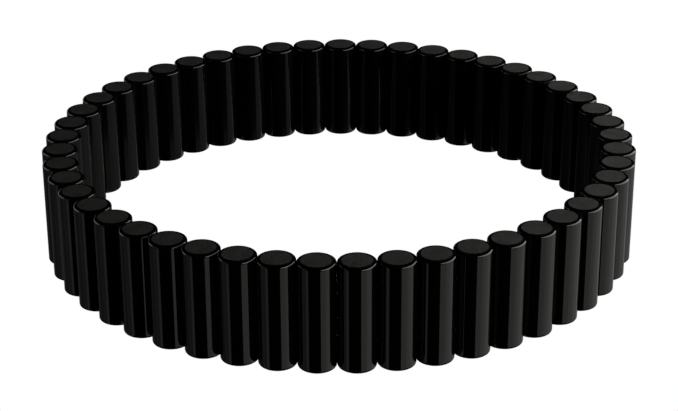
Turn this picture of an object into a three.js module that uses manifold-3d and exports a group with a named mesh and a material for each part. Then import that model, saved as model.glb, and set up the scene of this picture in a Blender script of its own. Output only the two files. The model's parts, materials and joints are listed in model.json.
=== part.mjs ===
import * as THREE from "three";
import { mergeVertices } from "three/addons/utils/BufferGeometryUtils.js";
import Module from "manifold-3d";

// Stretch bracelet: upright polished rods side by side in a closed ring, threaded on two elastic cords.
// Millimetres, +Z up along the ring's axis, the ring's centre at the origin and the rods standing on Z = 0.
// The first rod is at the back (+Y), and the others follow round the ring, past -X to the front.

const ROD_COUNT = 49;
const ROD_RADIUS = 2.0;
const ROD_LENGTH = 11.7;
const ROD_SIDES = 16;
const EDGE_ROUND = 0.32;
const EDGE_STEPS = 2;

const PITCH = 2 * ROD_RADIUS; // the cords pull the rods against each other
const RING_RADIUS = PITCH / (2 * Math.sin(Math.PI / ROD_COUNT)); // circle of the rods' axes

const HOLE_RADIUS = 0.5;
const HOLE_SIDES = 8;
const HOLE_HEIGHTS = { elastic_cord_lower: 0.25 * ROD_LENGTH, elastic_cord_upper: 0.75 * ROD_LENGTH };

const CORD_RADIUS = 0.44; // nearly fills its hole
const CORD_SIDES = 6;
const CORD_BEND_RADIUS = RING_RADIUS / Math.cos(Math.PI / ROD_COUNT); // circle of its bends, between rods

const KNOT_RADIUS = 0.72;
const KNOT_LENGTH = 2.2;
const KNOT_FROM_AXIS = 0.55; // along the cord, towards the second rod
const TAIL_RADIUS = 0.28;
const TAIL_LENGTH = 1.0;
const TAIL_SPREAD = 0.42; // a trimmed end's distance from the cord's line
const POCKET_RADIUS = 1.05; // wide bore in the first rod, which the knots are pulled into
const POCKET_SIDES = 12;
const POCKET_DEPTH_PAST_AXIS = 0.85;

const KNOT_BALL_SIDES = [10, 8];
const MERGE_DISTANCE = 1e-4;

const wasm = await Module();
wasm.setup();

function toSolid(geometry) {
  const bare = geometry.clone();
  bare.deleteAttribute("normal");
  bare.deleteAttribute("uv");
  const merged = mergeVertices(bare, MERGE_DISTANCE);
  return new wasm.Manifold(new wasm.Mesh({
    numProp: 3,
    vertProperties: new Float32Array(merged.attributes.position.array),
    triVerts: new Uint32Array(merged.index.array),
  }));
}

function toGeometry(solid) {
  const mesh = solid.getMesh();
  const geometry = new THREE.BufferGeometry();
  geometry.setAttribute("position", new THREE.BufferAttribute(new Float32Array(mesh.vertProperties), 3));
  geometry.setIndex(new THREE.BufferAttribute(new Uint32Array(mesh.triVerts), 1));
  geometry.computeVertexNormals();
  return geometry;
}

// Angle of a rod round the ring, from +X and counter-clockwise seen from above.
function rodAngle(index) {
  return Math.PI / 2 + (2 * Math.PI * index) / ROD_COUNT;
}

// A bore or pin lying along X, from one X to another.
function barAlongX(radius, sides, fromX, toX) {
  const bar = new THREE.CylinderGeometry(radius, radius, toX - fromX, sides);
  bar.rotateZ(Math.PI / 2);
  bar.translate((fromX + toX) / 2, 0, 0);
  return bar;
}

// A rod's turned shape: flat ends and rounded edges, standing on Z = 0.
function rodBlank() {
  const lowerEdge = [];
  for (let step = 0; step <= EDGE_STEPS; step += 1) {
    const turn = (step / EDGE_STEPS) * (Math.PI / 2);
    const reach = ROD_RADIUS - EDGE_ROUND * (1 - Math.sin(turn));
    lowerEdge.push(new THREE.Vector2(reach, EDGE_ROUND * (1 - Math.cos(turn))));
  }
  const upperEdge = lowerEdge.map((point) => new THREE.Vector2(point.x, ROD_LENGTH - point.y)).reverse();
  const foot = new THREE.Vector2(0, 0);
  const top = new THREE.Vector2(0, ROD_LENGTH);
  const blank = new THREE.LatheGeometry([foot, ...lowerEdge, ...upperEdge, top], ROD_SIDES);
  blank.rotateX(Math.PI / 2);
  return toSolid(blank);
}

// The rod with a hole for each cord. The first rod's are opened out from one side to take the knots.
function drilledRod(withPockets) {
  let rod = rodBlank();
  const past = 2 * ROD_RADIUS;
  for (const height of Object.values(HOLE_HEIGHTS)) {
    const hole = barAlongX(HOLE_RADIUS, HOLE_SIDES, -past, past);
    hole.translate(0, 0, height);
    rod = rod.subtract(toSolid(hole));
    if (withPockets) {
      const pocket = barAlongX(POCKET_RADIUS, POCKET_SIDES, -past, POCKET_DEPTH_PAST_AXIS);
      pocket.translate(0, 0, height);
      rod = rod.subtract(toSolid(pocket));
    }
  }
  return toGeometry(rod);
}

// One cord: a closed loop that runs straight through each rod and bends between neighbours,
// with its knot and the two trimmed ends inside the first rod.
function knottedCord() {
  const loop = new THREE.TorusGeometry(CORD_BEND_RADIUS, CORD_RADIUS, CORD_SIDES, ROD_COUNT);
  loop.rotateZ(rodAngle(0.5));
  const knot = new THREE.SphereGeometry(1, ...KNOT_BALL_SIDES);
  knot.scale(KNOT_LENGTH / 2, KNOT_RADIUS, KNOT_RADIUS);
  knot.translate(-KNOT_FROM_AXIS, RING_RADIUS, 0);
  let cord = toSolid(loop).add(toSolid(knot));
  for (const side of [-1, 1]) {
    const end = barAlongX(TAIL_RADIUS, CORD_SIDES, -KNOT_FROM_AXIS - TAIL_LENGTH, -KNOT_FROM_AXIS);
    end.translate(0, RING_RADIUS, side * TAIL_SPREAD);
    cord = cord.add(toSolid(end));
  }
  return toGeometry(cord);
}

const group = new THREE.Group();
group.name = "stretch_bracelet";

const rodMaterial = new THREE.MeshStandardMaterial({ color: 0x0c0c0d, roughness: 0.12, metalness: 0.0 });
const cordMaterial = new THREE.MeshStandardMaterial({ color: 0x141414, roughness: 0.7, metalness: 0.0 });

const plainRod = drilledRod(false);
const knotRod = drilledRod(true);

for (let index = 0; index < ROD_COUNT; index += 1) {
  const rod = new THREE.Mesh(index === 0 ? knotRod : plainRod, rodMaterial.clone());
  const angle = rodAngle(index);
  rod.name = `rod_${String(index + 1).padStart(2, "0")}`;
  rod.position.set(RING_RADIUS * Math.cos(angle), RING_RADIUS * Math.sin(angle), 0);
  rod.rotation.z = angle - Math.PI / 2; // its holes follow the ring
  group.add(rod);
}

const cordGeometry = knottedCord();
for (const [name, height] of Object.entries(HOLE_HEIGHTS)) {
  const cord = new THREE.Mesh(cordGeometry, cordMaterial.clone());
  cord.name = name;
  cord.position.z = height;
  group.add(cord);
}

export default group;
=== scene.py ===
# Stretch bracelet of polished black stone rods on two elastic cords. Blender 4.5
import json
import math
import random

import bpy
from mathutils import Matrix, Vector


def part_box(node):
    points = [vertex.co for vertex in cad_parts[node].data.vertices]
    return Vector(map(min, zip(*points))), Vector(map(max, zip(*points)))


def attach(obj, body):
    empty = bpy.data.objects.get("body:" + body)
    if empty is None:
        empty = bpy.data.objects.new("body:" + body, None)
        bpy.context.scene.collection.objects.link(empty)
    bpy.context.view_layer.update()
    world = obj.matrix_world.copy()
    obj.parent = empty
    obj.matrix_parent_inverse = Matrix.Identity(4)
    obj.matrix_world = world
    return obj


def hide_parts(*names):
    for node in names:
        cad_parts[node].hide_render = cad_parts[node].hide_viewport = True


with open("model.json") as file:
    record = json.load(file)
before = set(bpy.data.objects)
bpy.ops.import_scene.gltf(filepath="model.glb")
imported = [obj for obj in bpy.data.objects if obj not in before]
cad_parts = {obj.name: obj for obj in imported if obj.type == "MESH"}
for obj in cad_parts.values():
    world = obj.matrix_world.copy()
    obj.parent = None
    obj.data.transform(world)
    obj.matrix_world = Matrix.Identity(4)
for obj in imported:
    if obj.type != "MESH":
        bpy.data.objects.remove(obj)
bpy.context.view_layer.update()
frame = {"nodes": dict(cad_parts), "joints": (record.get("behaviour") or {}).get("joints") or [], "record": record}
mm = 0.001

rodNames = sorted(name for name in frame["nodes"] if name.startswith("rod_"))
bodyOf = {node: body for body, nodes in frame["record"]["behaviour"]["bodies"].items() for node in nodes}


def middleOf(node):
    low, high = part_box(node)
    return (Vector(low) + Vector(high)) / 2


firstLow, firstHigh = (Vector(corner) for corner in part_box(rodNames[0]))
rodRadius = (firstHigh.x - firstLow.x) / 2
rodLength = firstHigh.z - firstLow.z
ringRadius = middleOf(rodNames[0]).xy.length
cordHeights = {"lower": rodLength * 0.25, "upper": rodLength * 0.75}
stretchTravel = next(joint["range_m"][1] for joint in frame["joints"] if joint["name"] == "stretch")
print("frame:", len(rodNames), "rods, ring radius", round(ringRadius / mm, 2), "mm")


def deselectAll():
    if bpy.context.object and bpy.context.object.mode != "OBJECT":
        bpy.ops.object.mode_set(mode="OBJECT")
    bpy.ops.object.select_all(action="DESELECT")


def activate(piece):
    deselectAll()
    piece.select_set(True)
    bpy.context.view_layer.objects.active = piece


def applyPlace(piece):
    activate(piece)
    bpy.ops.object.transform_apply(location=True, rotation=True, scale=True)


def applyModifier(piece, kind, **values):
    activate(piece)
    modifier = piece.modifiers.new(kind.title(), kind)
    for key, value in values.items():
        setattr(modifier, key, value)
    bpy.ops.object.modifier_apply(modifier=modifier.name)


def cutAway(piece, cutter):
    applyModifier(piece, "BOOLEAN", operation="DIFFERENCE", solver="EXACT", object=cutter)
    bpy.data.objects.remove(cutter, do_unlink=True)


def joinNodes(tree, fromSocket, toSocket):
    tree.links.new(fromSocket, toSocket)


def newGroup(name, inputs, outputs):
    group = bpy.data.node_groups.new(name, "ShaderNodeTree")
    for label, kind, value in inputs:
        socket = group.interface.new_socket(label, in_out="INPUT", socket_type=kind)
        if value is not None:
            socket.default_value = value
    for label, kind in outputs:
        group.interface.new_socket(label, in_out="OUTPUT", socket_type=kind)
    return group, group.nodes.new("NodeGroupInput"), group.nodes.new("NodeGroupOutput")


speckle = {"detail": 3, "roughness": 0.65, "driftDetail": 2, "darkest": 0.32, "lightest": 0.68}


def makeFineGrain():
    # speckle at one size over a slow drift, mapped between a low and a high value
    group, enter, leave = newGroup(
        "fineGrain",
        [
            ("Vector", "NodeSocketVector", None),
            ("Grain Scale", "NodeSocketFloat", 9000.0),
            ("Drift Scale", "NodeSocketFloat", 400.0),
            ("Drift Share", "NodeSocketFloat", 0.3),
            ("Low", "NodeSocketFloat", 0.0),
            ("High", "NodeSocketFloat", 1.0),
        ],
        [("Value", "NodeSocketFloat"), ("Height", "NodeSocketFloat")],
    )
    nodes = group.nodes
    grain = nodes.new("ShaderNodeTexNoise")
    grain.inputs["Detail"].default_value = speckle["detail"]
    grain.inputs["Roughness"].default_value = speckle["roughness"]
    drift = nodes.new("ShaderNodeTexNoise")
    drift.inputs["Detail"].default_value = speckle["driftDetail"]
    blend = nodes.new("ShaderNodeMix")
    spread = nodes.new("ShaderNodeMapRange")
    spread.inputs["From Min"].default_value = speckle["darkest"]
    spread.inputs["From Max"].default_value = speckle["lightest"]
    joinNodes(group, enter.outputs["Vector"], grain.inputs["Vector"])
    joinNodes(group, enter.outputs["Vector"], drift.inputs["Vector"])
    joinNodes(group, enter.outputs["Grain Scale"], grain.inputs["Scale"])
    joinNodes(group, enter.outputs["Drift Scale"], drift.inputs["Scale"])
    joinNodes(group, enter.outputs["Drift Share"], blend.inputs["Factor"])
    joinNodes(group, grain.outputs["Fac"], blend.inputs["A"])
    joinNodes(group, drift.outputs["Fac"], blend.inputs["B"])
    joinNodes(group, blend.outputs["Result"], spread.inputs["Value"])
    joinNodes(group, enter.outputs["Low"], spread.inputs["To Min"])
    joinNodes(group, enter.outputs["High"], spread.inputs["To Max"])
    joinNodes(group, spread.outputs["Result"], leave.inputs["Value"])
    joinNodes(group, blend.outputs["Result"], leave.inputs["Height"])
    return group


fineGrain = makeFineGrain()


def newMaterial(name, viewColour):
    material = bpy.data.materials.new(name)
    material.use_nodes = True
    material.diffuse_color = (*viewColour, 1)
    tree = material.node_tree
    return material, tree, tree.nodes["Principled BSDF"]


def addGrain(tree, vector, **values):
    node = tree.nodes.new("ShaderNodeGroup")
    node.node_tree = fineGrain
    for key, value in values.items():
        node.inputs[key].default_value = value
    joinNodes(tree, vector, node.inputs["Vector"])
    return node


def addRamp(tree, factor, dark, light):
    ramp = tree.nodes.new("ShaderNodeValToRGB")
    ramp.color_ramp.elements[0].color = (*dark, 1)
    ramp.color_ramp.elements[1].color = (*light, 1)
    joinNodes(tree, factor, ramp.inputs["Fac"])
    return ramp


def addBump(tree, shader, height, strength, distance):
    bump = tree.nodes.new("ShaderNodeBump")
    bump.inputs["Strength"].default_value = strength
    bump.inputs["Distance"].default_value = distance
    joinNodes(tree, height, bump.inputs["Height"])
    joinNodes(tree, bump.outputs["Normal"], shader.inputs["Normal"])
    return bump


polish = {
    "dark": (0.0006, 0.0006, 0.0006),
    "light": (0.0020, 0.0020, 0.0021),
    "ior": 1.54,
    "gleam": (1.0, 0.985, 0.93),  # faintly warm
    "roughLow": 0.030,
    "roughHigh": 0.085,
    "drawn": 0.12,  # how much the polishing lines are drawn out along the rod
    "wave": 0.05,
    "waveDepth": 0.02 * mm,
    "hollowDepth": 0.19 * mm,  # slow unevenness left by the polishing
    "hollowScale": 330.0,
    "hollowStrength": 0.35,
    "hollowDrawn": 0.06,
}
ground = {
    "dark": (0.0050, 0.0050, 0.0048),
    "light": (0.0420, 0.0416, 0.0395),
    "grainScale": 5200.0,
    "roughLow": 0.36,
    "roughHigh": 0.56,
    "tooth": 0.35,
    "toothDepth": 0.012 * mm,
}
elastic = {
    "dark": (0.003, 0.003, 0.003),
    "light": (0.010, 0.010, 0.010),
    "strands": 9,
    "slant": math.radians(38),
    "loose": 0.6,  # how uneven the strands are
    "weaveDetail": 2,
    "relief": 0.6,
    "reliefDepth": 0.03 * mm,
    "roughLow": 0.5,
    "roughHigh": 0.75,
    "shine": 0.12,
}
glueFinish = {
    "dark": (0.002, 0.002, 0.002),
    "light": (0.005, 0.005, 0.005),
    "roughLow": 0.22,
    "roughHigh": 0.40,
    "skin": 0.3,
    "skinDepth": 0.04 * mm,
}


def makePolishedStone():
    material, tree, shader = newMaterial("polishedBlackStone", (0.02, 0.02, 0.02))
    place = tree.nodes.new("ShaderNodeTexCoord")
    drawn = tree.nodes.new("ShaderNodeMapping")
    drawn.inputs["Scale"].default_value = (1, 1, polish["drawn"])
    joinNodes(tree, place.outputs["Object"], drawn.inputs["Vector"])
    lines = addGrain(tree, drawn.outputs["Vector"], **{
        "Grain Scale": 5200.0, "Drift Scale": 260.0, "Drift Share": 0.55,
        "Low": polish["roughLow"], "High": polish["roughHigh"]})
    clouds = addGrain(tree, place.outputs["Object"], **{
        "Grain Scale": 1900.0, "Drift Scale": 170.0, "Drift Share": 0.5, "Low": 0.0, "High": 1.0})
    colour = addRamp(tree, clouds.outputs["Value"], polish["dark"], polish["light"])
    joinNodes(tree, colour.outputs["Color"], shader.inputs["Base Color"])
    joinNodes(tree, lines.outputs["Value"], shader.inputs["Roughness"])
    shader.inputs["IOR"].default_value = polish["ior"]
    shader.inputs["Specular Tint"].default_value = (*polish["gleam"], 1)
    hollows = tree.nodes.new("ShaderNodeTexNoise")
    hollows.inputs["Scale"].default_value = polish["hollowScale"]
    hollows.inputs["Detail"].default_value = 0.0
    stretched = tree.nodes.new("ShaderNodeMapping")
    stretched.inputs["Scale"].default_value = (1, 1, polish["hollowDrawn"])
    joinNodes(tree, place.outputs["Object"], stretched.inputs["Vector"])
    joinNodes(tree, stretched.outputs["Vector"], hollows.inputs["Vector"])
    slow = tree.nodes.new("ShaderNodeBump")
    slow.inputs["Strength"].default_value = polish["hollowStrength"]
    slow.inputs["Distance"].default_value = polish["hollowDepth"]
    joinNodes(tree, hollows.outputs["Fac"], slow.inputs["Height"])
    bump = addBump(tree, shader, clouds.outputs["Height"], polish["wave"], polish["waveDepth"])
    joinNodes(tree, slow.outputs["Normal"], bump.inputs["Normal"])
    return material


def makeGroundStone():
    material, tree, shader = newMaterial("groundBlackStone", (0.05, 0.05, 0.05))
    place = tree.nodes.new("ShaderNodeTexCoord")
    tooth = addGrain(tree, place.outputs["Object"], **{
        "Grain Scale": ground["grainScale"], "Drift Scale": 900.0, "Drift Share": 0.2,
        "Low": 0.0, "High": 1.0})
    haze = addGrain(tree, place.outputs["Object"], **{
        "Grain Scale": 5200.0, "Drift Scale": 600.0, "Drift Share": 0.4,
        "Low": ground["roughLow"], "High": ground["roughHigh"]})
    colour = addRamp(tree, tooth.outputs["Value"], ground["dark"], ground["light"])
    joinNodes(tree, colour.outputs["Color"], shader.inputs["Base Color"])
    joinNodes(tree, haze.outputs["Value"], shader.inputs["Roughness"])
    addBump(tree, shader, tooth.outputs["Height"], ground["tooth"], ground["toothDepth"])
    return material


def makeElastic():
    material, tree, shader = newMaterial("blackElastic", (0.04, 0.04, 0.04))
    uv = tree.nodes.new("ShaderNodeUVMap")
    twist = tree.nodes.new("ShaderNodeMapping")
    twist.inputs["Rotation"].default_value = (0, 0, elastic["slant"])
    weave = tree.nodes.new("ShaderNodeTexWave")
    weave.inputs["Scale"].default_value = elastic["strands"]
    weave.inputs["Distortion"].default_value = elastic["loose"]
    weave.inputs["Detail"].default_value = elastic["weaveDetail"]
    joinNodes(tree, uv.outputs["UV"], twist.inputs["Vector"])
    joinNodes(tree, twist.outputs["Vector"], weave.inputs["Vector"])
    place = tree.nodes.new("ShaderNodeTexCoord")
    fuzz = addGrain(tree, place.outputs["Object"], **{
        "Grain Scale": 16000.0, "Drift Scale": 1500.0, "Drift Share": 0.3,
        "Low": elastic["roughLow"], "High": elastic["roughHigh"]})
    colour = addRamp(tree, weave.outputs["Fac"], elastic["dark"], elastic["light"])
    joinNodes(tree, colour.outputs["Color"], shader.inputs["Base Color"])
    joinNodes(tree, fuzz.outputs["Value"], shader.inputs["Roughness"])
    shader.inputs["Specular IOR Level"].default_value = elastic["shine"]
    addBump(tree, shader, weave.outputs["Fac"], elastic["relief"], elastic["reliefDepth"])
    return material


def makeGlueFinish():
    material, tree, shader = newMaterial("blackGlue", (0.03, 0.03, 0.03))
    place = tree.nodes.new("ShaderNodeTexCoord")
    skin = addGrain(tree, place.outputs["Object"], **{
        "Grain Scale": 2600.0, "Drift Scale": 500.0, "Drift Share": 0.5,
        "Low": glueFinish["roughLow"], "High": glueFinish["roughHigh"]})
    colour = addRamp(tree, skin.outputs["Value"], glueFinish["dark"], glueFinish["light"])
    joinNodes(tree, colour.outputs["Color"], shader.inputs["Base Color"])
    joinNodes(tree, skin.outputs["Value"], shader.inputs["Roughness"])
    addBump(tree, shader, skin.outputs["Height"], glueFinish["skin"], glueFinish["skinDepth"])
    return material


polishedStone = makePolishedStone()
groundStone = makeGroundStone()
blackElastic = makeElastic()
knotGlue = makeGlueFinish()
print("materials made")


rodShape = {
    "sides": 80,
    "edge": 0.27 * mm,
    "edgeSteps": 6,
    "rim": 0.15 * mm,  # polished lip round the ground end
    "bore": 0.50 * mm,
    "boreSides": 28,
    "boreRow": 1.3 * mm,  # rows of faces above and below each bore
    "pocket": 1.05 * mm,
    "pocketPastAxis": 0.85 * mm,
    "endRow": 0.05 * mm,  # row of faces that ends the rounding's shading
    "wallDeep": 0.03 * mm,  # faces deeper than this are a bore's or pocket's walls
    "bevelAngle": math.radians(60),
    "smooth": math.radians(32),
    "level": 0.999,  # a face whose normal rises this much is an end
    "seed": 7,
}


def cutterBar(radius, fromX, toX):
    deselectAll()
    bpy.ops.mesh.primitive_cylinder_add(
        vertices=rodShape["boreSides"], radius=radius, depth=toX - fromX,
        location=((fromX + toX) / 2, 0, 0), rotation=(0, math.pi / 2, 0))
    bar = bpy.context.object
    applyPlace(bar)
    return bar


def moveUp(piece, height):
    piece.data.transform(Matrix.Translation((0, 0, height)))
    return piece


def makeRod(name, withPockets):
    deselectAll()
    bpy.ops.mesh.primitive_cylinder_add(
        vertices=rodShape["sides"], radius=rodRadius, depth=rodLength, location=(0, 0, rodLength / 2))
    rod = bpy.context.object
    rod.name = name
    applyPlace(rod)
    applyModifier(rod, "BEVEL", width=rodShape["edge"], segments=rodShape["edgeSteps"],
                  limit_method="ANGLE", angle_limit=rodShape["bevelAngle"])
    rod.data.materials.append(polishedStone)
    rod.data.materials.append(groundStone)

    # a ground disc inside a thin polished lip at each end
    activate(rod)
    bpy.ops.object.mode_set(mode="EDIT")
    bpy.ops.mesh.select_all(action="DESELECT")
    bpy.ops.object.mode_set(mode="OBJECT")
    for face in rod.data.polygons:
        face.select = abs(face.normal.z) > rodShape["level"]
    bpy.ops.object.mode_set(mode="EDIT")
    bpy.context.tool_settings.mesh_select_mode = (False, False, True)
    bpy.ops.mesh.inset(thickness=rodShape["rim"], depth=0, use_individual=True)
    bpy.ops.object.mode_set(mode="OBJECT")
    for face in rod.data.polygons:
        if face.select:
            face.material_index = 1

    # rows across the sides keep the shading clean below the roundings and round each bore
    rows = [rodShape["edge"] + rodShape["endRow"], rodLength - rodShape["edge"] - rodShape["endRow"]]
    for height in cordHeights.values():
        rows += [height - rodShape["boreRow"], height + rodShape["boreRow"]]
    bpy.ops.object.mode_set(mode="EDIT")
    for row in rows:
        bpy.ops.mesh.select_all(action="SELECT")
        bpy.ops.mesh.bisect(plane_co=(0, 0, row), plane_no=(0, 0, 1), threshold=0.001 * mm)
    bpy.ops.object.mode_set(mode="OBJECT")

    for height in cordHeights.values():
        cutAway(rod, moveUp(cutterBar(rodShape["bore"], -2 * rodRadius, 2 * rodRadius), height))
        if withPockets:
            pocket = cutterBar(rodShape["pocket"], -2 * rodRadius, rodShape["pocketPastAxis"])
            cutAway(rod, moveUp(pocket, height))
    for face in rod.data.polygons:  # the bores' walls are drilled, not polished
        across = math.hypot(face.center.x, face.center.y)
        nearEnd = min(face.center.z, rodLength - face.center.z) < rodShape["edge"]
        if across < rodRadius - rodShape["wallDeep"] and not nearEnd:
            face.material_index = 1
    activate(rod)
    bpy.ops.object.shade_smooth_by_angle(angle=rodShape["smooth"])
    applyModifier(rod, "WEIGHTED_NORMAL", keep_sharp=True)
    return rod


def placedCopy(master, name, move):
    piece = master.copy()
    piece.data = master.data.copy()
    piece.name = name
    piece.data.name = name
    bpy.context.collection.objects.link(piece)
    piece.data.transform(move)
    return piece


def ringPlace(node):
    # moves a piece from the origin, where its bores run along X, to a rod's place in the ring
    spot = middleOf(node)
    turn = math.atan2(spot.y, spot.x) - math.pi / 2
    return Matrix.Translation((spot.x, spot.y, 0)) @ Matrix.Rotation(turn, 4, "Z")


plainRod = makeRod("plainRod", withPockets=False)
knotRod = makeRod("knotRod", withPockets=True)
random.seed(rodShape["seed"])
for node in rodNames:
    master = knotRod if node == rodNames[0] else plainRod
    spin = Matrix.Rotation(0.0 if node == rodNames[0] else random.choice((0.0, math.pi)), 4, "Z")
    rod = placedCopy(master, f"stone_{node}", ringPlace(node) @ spin)
    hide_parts(node)
    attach(rod, bodyOf[node])
bpy.data.objects.remove(plainRod, do_unlink=True)
bpy.data.objects.remove(knotRod, do_unlink=True)
print("rods made:", len(rodNames))


cordShape = {
    "radius": 0.44 * mm,
    "sides": 36,
    "rings": 10,
    "lobes": 6,
    "lobeDepth": 0.035 * mm,
    "twist": math.radians(110),
    "overlap": 0.06 * mm,
    "knotRadius": 0.25 * mm,
    "knotReach": 0.225 * mm,
    "knotLong": 1.9,  # length of the knot against its turns
    "knotSteps": 72,
    "knotFromAxis": 0.55 * mm,
    "tail": 1.0 * mm,
    "tailSteps": 3,
    "tailAside": 0.12 * mm,
    "tailStart": 0.20 * mm,
    "tailSpread": 0.09 * mm,
    "glueDeep": 0.5 * mm,
    "smooth": math.radians(50),
}
# as long as the widest gap needs: a rod's own share of the cord when the ring is fully stretched
travelPerRadius = 2 * math.cos(math.pi / 2 / len(rodNames))
widest = (ringRadius + stretchTravel / travelPerRadius) / ringRadius
cordLength = 2 * ringRadius * math.tan(math.pi / len(rodNames)) * widest + cordShape["overlap"]


def makeCordLength():
    deselectAll()
    bpy.ops.mesh.primitive_cylinder_add(
        vertices=cordShape["sides"], radius=cordShape["radius"], depth=cordLength)
    cord = bpy.context.object
    bpy.ops.object.mode_set(mode="EDIT")
    for ring in range(1, cordShape["rings"]):
        bpy.ops.mesh.select_all(action="SELECT")
        height = -cordLength / 2 + cordLength * ring / cordShape["rings"]
        bpy.ops.mesh.bisect(plane_co=(0, 0, height), plane_no=(0, 0, 1))
    bpy.ops.object.mode_set(mode="OBJECT")
    for vertex in cord.data.vertices:  # twisted strands
        around = math.atan2(vertex.co.y, vertex.co.x)
        along = vertex.co.z / cordLength
        lobe = abs(math.sin(cordShape["lobes"] / 2 * (around + cordShape["twist"] * along)))
        reach = cordShape["radius"] - cordShape["lobeDepth"] * (1 - lobe)
        vertex.co.xy = (reach * math.cos(around), reach * math.sin(around))
    cord.data.transform(Matrix.Rotation(math.pi / 2, 4, "Y"))
    cord.data.materials.append(blackElastic)
    activate(cord)
    bpy.ops.object.shade_smooth_by_angle(angle=cordShape["smooth"])
    return cord


def makeKnot():
    # a pulled-tight overhand knot with two trimmed ends, lying along X
    points = []
    for step in range(cordShape["knotSteps"]):
        turn = 2 * math.pi * step / cordShape["knotSteps"]
        points.append((
            cordShape["knotLong"] * math.sin(3 * turn),
            math.sin(turn) + 2 * math.sin(2 * turn),
            math.cos(turn) - 2 * math.cos(2 * turn),
        ))
    curve = bpy.data.curves.new("knot", "CURVE")
    curve.dimensions = "3D"
    curve.bevel_depth = cordShape["knotRadius"]
    curve.bevel_resolution = 5
    spline = curve.splines.new("POLY")
    spline.points.add(len(points) - 1)
    for point, spot in zip(spline.points, points):
        place = Vector(spot) * cordShape["knotReach"]
        point.co = (place.x - cordShape["knotFromAxis"], place.y, place.z, 1)
    spline.use_cyclic_u = True
    for side in (-1, 1):
        tail = curve.splines.new("POLY")
        tail.points.add(cordShape["tailSteps"])
        for step, point in enumerate(tail.points):
            along = cordShape["knotFromAxis"] + cordShape["tail"] * step / cordShape["tailSteps"]
            spread = cordShape["tailStart"] + cordShape["tailSpread"] * step
            point.co = (-along, side * cordShape["tailAside"], side * spread, 1)
    curve.use_fill_caps = True
    knot = bpy.data.objects.new("knot", curve)
    bpy.context.collection.objects.link(knot)
    activate(knot)
    bpy.ops.object.convert(target="MESH")
    knot = bpy.context.object
    knot.data.materials.append(blackElastic)
    bpy.ops.object.mode_set(mode="EDIT")
    bpy.ops.mesh.select_all(action="SELECT")
    bpy.ops.uv.smart_project()
    bpy.ops.object.mode_set(mode="OBJECT")
    bpy.ops.object.shade_smooth_by_angle(angle=cordShape["smooth"])
    return knot


def makeGlue():
    # a drop of glue that holds the knot and closes its pocket, level with the rod's side
    glue = cutterBar(rodShape["pocket"], -2 * rodRadius, cordShape["glueDeep"] - rodRadius)
    deselectAll()
    bpy.ops.mesh.primitive_cylinder_add(
        vertices=rodShape["sides"], radius=rodRadius, depth=3 * rodRadius)
    side = bpy.context.object
    applyModifier(glue, "BOOLEAN", operation="INTERSECT", solver="EXACT", object=side)
    bpy.data.objects.remove(side, do_unlink=True)
    glue.data.materials.clear()
    glue.data.materials.append(knotGlue)
    activate(glue)
    bpy.ops.object.shade_smooth_by_angle(angle=rodShape["smooth"])
    return glue


cordMaster = makeCordLength()
knotMaster = makeKnot()
glueMaster = makeGlue()
for level, height in cordHeights.items():
    for node in rodNames:
        move = ringPlace(node) @ Matrix.Translation((0, 0, height))
        cord = placedCopy(cordMaster, f"cord_{level}_{node[-2:]}", move)
        if node == rodNames[0]:
            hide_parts(f"elastic_cord_{level}")
        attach(cord, bodyOf[node])
    move = ringPlace(rodNames[0]) @ Matrix.Translation((0, 0, height))
    knot = placedCopy(knotMaster, f"knot_{level}", move)
    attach(knot, bodyOf[rodNames[0]])
    glue = placedCopy(glueMaster, f"knot_glue_{level}", move)
    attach(glue, bodyOf[rodNames[0]])
bpy.data.objects.remove(cordMaster, do_unlink=True)
bpy.data.objects.remove(knotMaster, do_unlink=True)
bpy.data.objects.remove(glueMaster, do_unlink=True)
print("cords made")


stageLook = {
    "floorSize": 4.0,
    "floorDrop": 0.04 * mm,
    "paper": 1.0,
    "shadeRadius": 29 * mm,  # a dim disc below the opening, which darkens what the inner faces mirror
    "shadeDrop": 0.08 * mm,
    "shade": 0.25,
    "shadeSides": 96,
}


def makeFloor():
    deselectAll()
    bpy.ops.mesh.primitive_plane_add(size=stageLook["floorSize"], location=(0, 0, -stageLook["floorDrop"]))
    floor = bpy.context.object
    floor.name = "floor"
    material = bpy.data.materials.new("paleFloor")
    material.use_nodes = True
    tree = material.node_tree
    tree.nodes.remove(tree.nodes["Principled BSDF"])
    # pale to the camera and clear to every other ray, so the polish mirrors the panels below and around
    paper = tree.nodes.new("ShaderNodeEmission")
    paper.inputs["Strength"].default_value = stageLook["paper"]
    clear = tree.nodes.new("ShaderNodeBsdfTransparent")
    rays = tree.nodes.new("ShaderNodeLightPath")
    choose = tree.nodes.new("ShaderNodeMixShader")
    joinNodes(tree, rays.outputs["Is Camera Ray"], choose.inputs["Fac"])
    joinNodes(tree, clear.outputs[0], choose.inputs[1])
    joinNodes(tree, paper.outputs[0], choose.inputs[2])
    joinNodes(tree, choose.outputs[0], tree.nodes["Material Output"].inputs["Surface"])
    floor.data.materials.append(material)


def makeInnerShade():
    deselectAll()
    bpy.ops.mesh.primitive_circle_add(
        vertices=stageLook["shadeSides"], radius=stageLook["shadeRadius"], fill_type="NGON",
        location=(0, 0, -stageLook["shadeDrop"]))
    disc = bpy.context.object
    disc.name = "innerShade"
    material = bpy.data.materials.new("innerShade")
    material.use_nodes = True
    tree = material.node_tree
    tree.nodes.remove(tree.nodes["Principled BSDF"])
    tint = tree.nodes.new("ShaderNodeBsdfTransparent")
    tint.inputs["Color"].default_value = (stageLook["shade"],) * 3 + (1,)
    joinNodes(tree, tint.outputs[0], tree.nodes["Material Output"].inputs["Surface"])
    disc.data.materials.append(material)
    disc.visible_camera = False
    disc.visible_shadow = False


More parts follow.
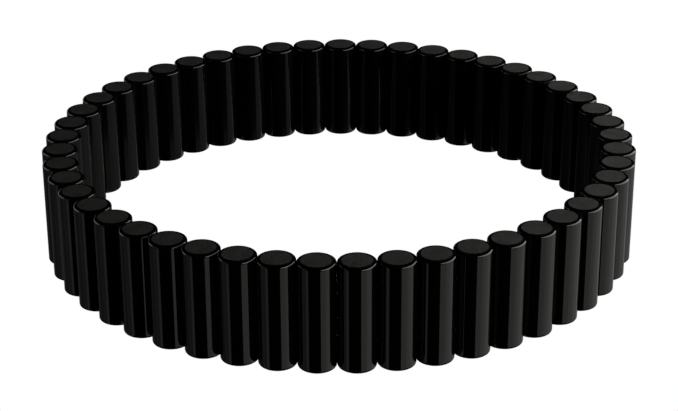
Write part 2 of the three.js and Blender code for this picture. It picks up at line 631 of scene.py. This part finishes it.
# far panels round the table: degrees round from the front (right is plus), degrees up, brightness
panels = {
    "rightFront": ((23, 56), (-36, -22.5), 0.41),
    "rightSide": ((56, 110), (-36, -1), 0.50),
    "rightRear": ((110, 155), (-36, -1), 0.34),
    "leftFront": ((-64, -48), (-36, -22.5), 0.23),
    "leftSide": ((-92, -64), (-36, -1), 0.10),
    "leftRear": ((-170, -92), (-36, -1), 0.05),
    "leftBand": ((-61, -53), (-22.5, -19.5), 0.20),
    "below": ((-180, 180), (-90, -60), 0.015),
}


def addMath(tree, operation, *values):
    node = tree.nodes.new("ShaderNodeMath")
    node.operation = operation
    for socket, value in zip(node.inputs, values):
        if isinstance(value, (int, float)):
            socket.default_value = value
        else:
            joinNodes(tree, value, socket)
    return node.outputs[0]


def between(tree, value, low, high):
    return addMath(tree, "COMPARE", value, math.radians(low + high) / 2, math.radians(high - low) / 2)


def makeWorld():
    world = bpy.data.worlds.new("studio")
    world.use_nodes = True
    bpy.context.scene.world = world
    tree = world.node_tree
    place = tree.nodes.new("ShaderNodeTexCoord")
    split = tree.nodes.new("ShaderNodeSeparateXYZ")
    joinNodes(tree, place.outputs["Generated"], split.inputs["Vector"])
    towardsFront = addMath(tree, "MULTIPLY", split.outputs["Y"], -1.0)
    around = addMath(tree, "ARCTAN2", split.outputs["X"], towardsFront)
    rise = addMath(tree, "ARCSINE", split.outputs["Z"])
    total = 0.0
    for turns, heights, glow in panels.values():
        inside = addMath(tree, "MULTIPLY", between(tree, around, *turns), between(tree, rise, *heights))
        total = addMath(tree, "MULTIPLY_ADD", inside, glow, total)
    rays = tree.nodes.new("ShaderNodeLightPath")
    strength = addMath(tree, "MAXIMUM", total, rays.outputs["Is Camera Ray"])
    back = tree.nodes["Background"]
    back.inputs["Color"].default_value = (1, 1, 1, 1)
    joinNodes(tree, strength, back.inputs["Strength"])


softboxes = {
    # two ends on the floor plan, then height and brightness
    "rightWall": {"from": (0.130, -0.300), "to": (0.130, 0.090), "height": 0.085, "glow": 2.7},
    "leftWall": {"from": (-0.100, 0.030), "to": (-0.092, -0.030), "height": 0.040, "glow": 1.0},
    "leftEnd": {"from": (-0.092, -0.032), "to": (-0.085, -0.100), "height": 0.030, "glow": 0.2},
    "leftBack": {"from": (-0.060, 0.090), "to": (-0.100, 0.032), "height": 0.026, "glow": 0.55},
}


def makeSoftbox(name, look):
    start, end = Vector(look["from"]), Vector(look["to"])
    middle = (start + end) / 2
    width = (end - start).length
    deselectAll()
    bpy.ops.object.light_add(type="AREA", location=(middle.x, middle.y, look["height"] / 2))
    lamp = bpy.context.object
    lamp.name = name
    lamp.data.shape = "RECTANGLE"
    lamp.data.size = width
    lamp.data.size_y = look["height"]
    lamp.data.energy = look["glow"] * math.pi * width * look["height"]
    along = (end - start).to_3d().normalized()
    facing = Vector((0, 0, 1)).cross(along)
    if facing.dot(-middle.to_3d()) < 0:
        along = -along
        facing = -facing
    # a lamp shines along its own -Z, so its Z is turned away from the ring
    lamp.rotation_euler = Matrix((along, Vector((0, 0, 1)), -facing)).transposed().to_euler()
    lamp.visible_camera = False


topLamp = {"place": (0.090, 0.012, 0.072), "size": 0.05, "power": 0.130}


def makeTopLamp():
    # a soft lamp high on the right lights the ground discs, and is kept out of the polish
    deselectAll()
    bpy.ops.object.light_add(type="AREA", location=topLamp["place"])
    lamp = bpy.context.object
    lamp.name = "topLamp"
    lamp.data.shape = "DISK"
    lamp.data.size = topLamp["size"]
    lamp.data.energy = topLamp["power"]
    lamp.rotation_euler = Vector(topLamp["place"]).to_track_quat("Z", "Y").to_euler()
    lamp.visible_camera = False
    lamp.visible_glossy = False


makeFloor()
makeInnerShade()
makeWorld()
for name, look in softboxes.items():
    makeSoftbox(name, look)
makeTopLamp()
print("stage made")


cameraLook = {
    "azimuth": math.radians(0.48),
    "elevation": math.radians(24.02),
    "distance": 0.2184,
    "lens": 101.73,
    "shift": -0.0299,
    "roll": math.radians(-0.286),
    "sensor": 36,
    "nearest": 0.01,
}


def makeCamera():
    azimuth, elevation = cameraLook["azimuth"], cameraLook["elevation"]
    outward = Vector((
        math.sin(azimuth) * math.cos(elevation),
        -math.cos(azimuth) * math.cos(elevation),
        math.sin(elevation),
    ))
    aim = Vector((0, 0, rodLength / 2))
    bpy.ops.object.camera_add(location=aim + outward * cameraLook["distance"])
    camera = bpy.context.object
    look = (-outward).to_track_quat("-Z", "Y").to_matrix().to_4x4()
    camera.rotation_euler = (look @ Matrix.Rotation(cameraLook["roll"], 4, "Z")).to_euler()
    camera.data.lens = cameraLook["lens"]
    camera.data.sensor_width = cameraLook["sensor"]
    camera.data.shift_y = cameraLook["shift"]
    camera.data.clip_start = cameraLook["nearest"]
    bpy.context.scene.camera = camera


makeCamera()
bpy.context.scene.view_settings.view_transform = "Standard"
print("camera set")
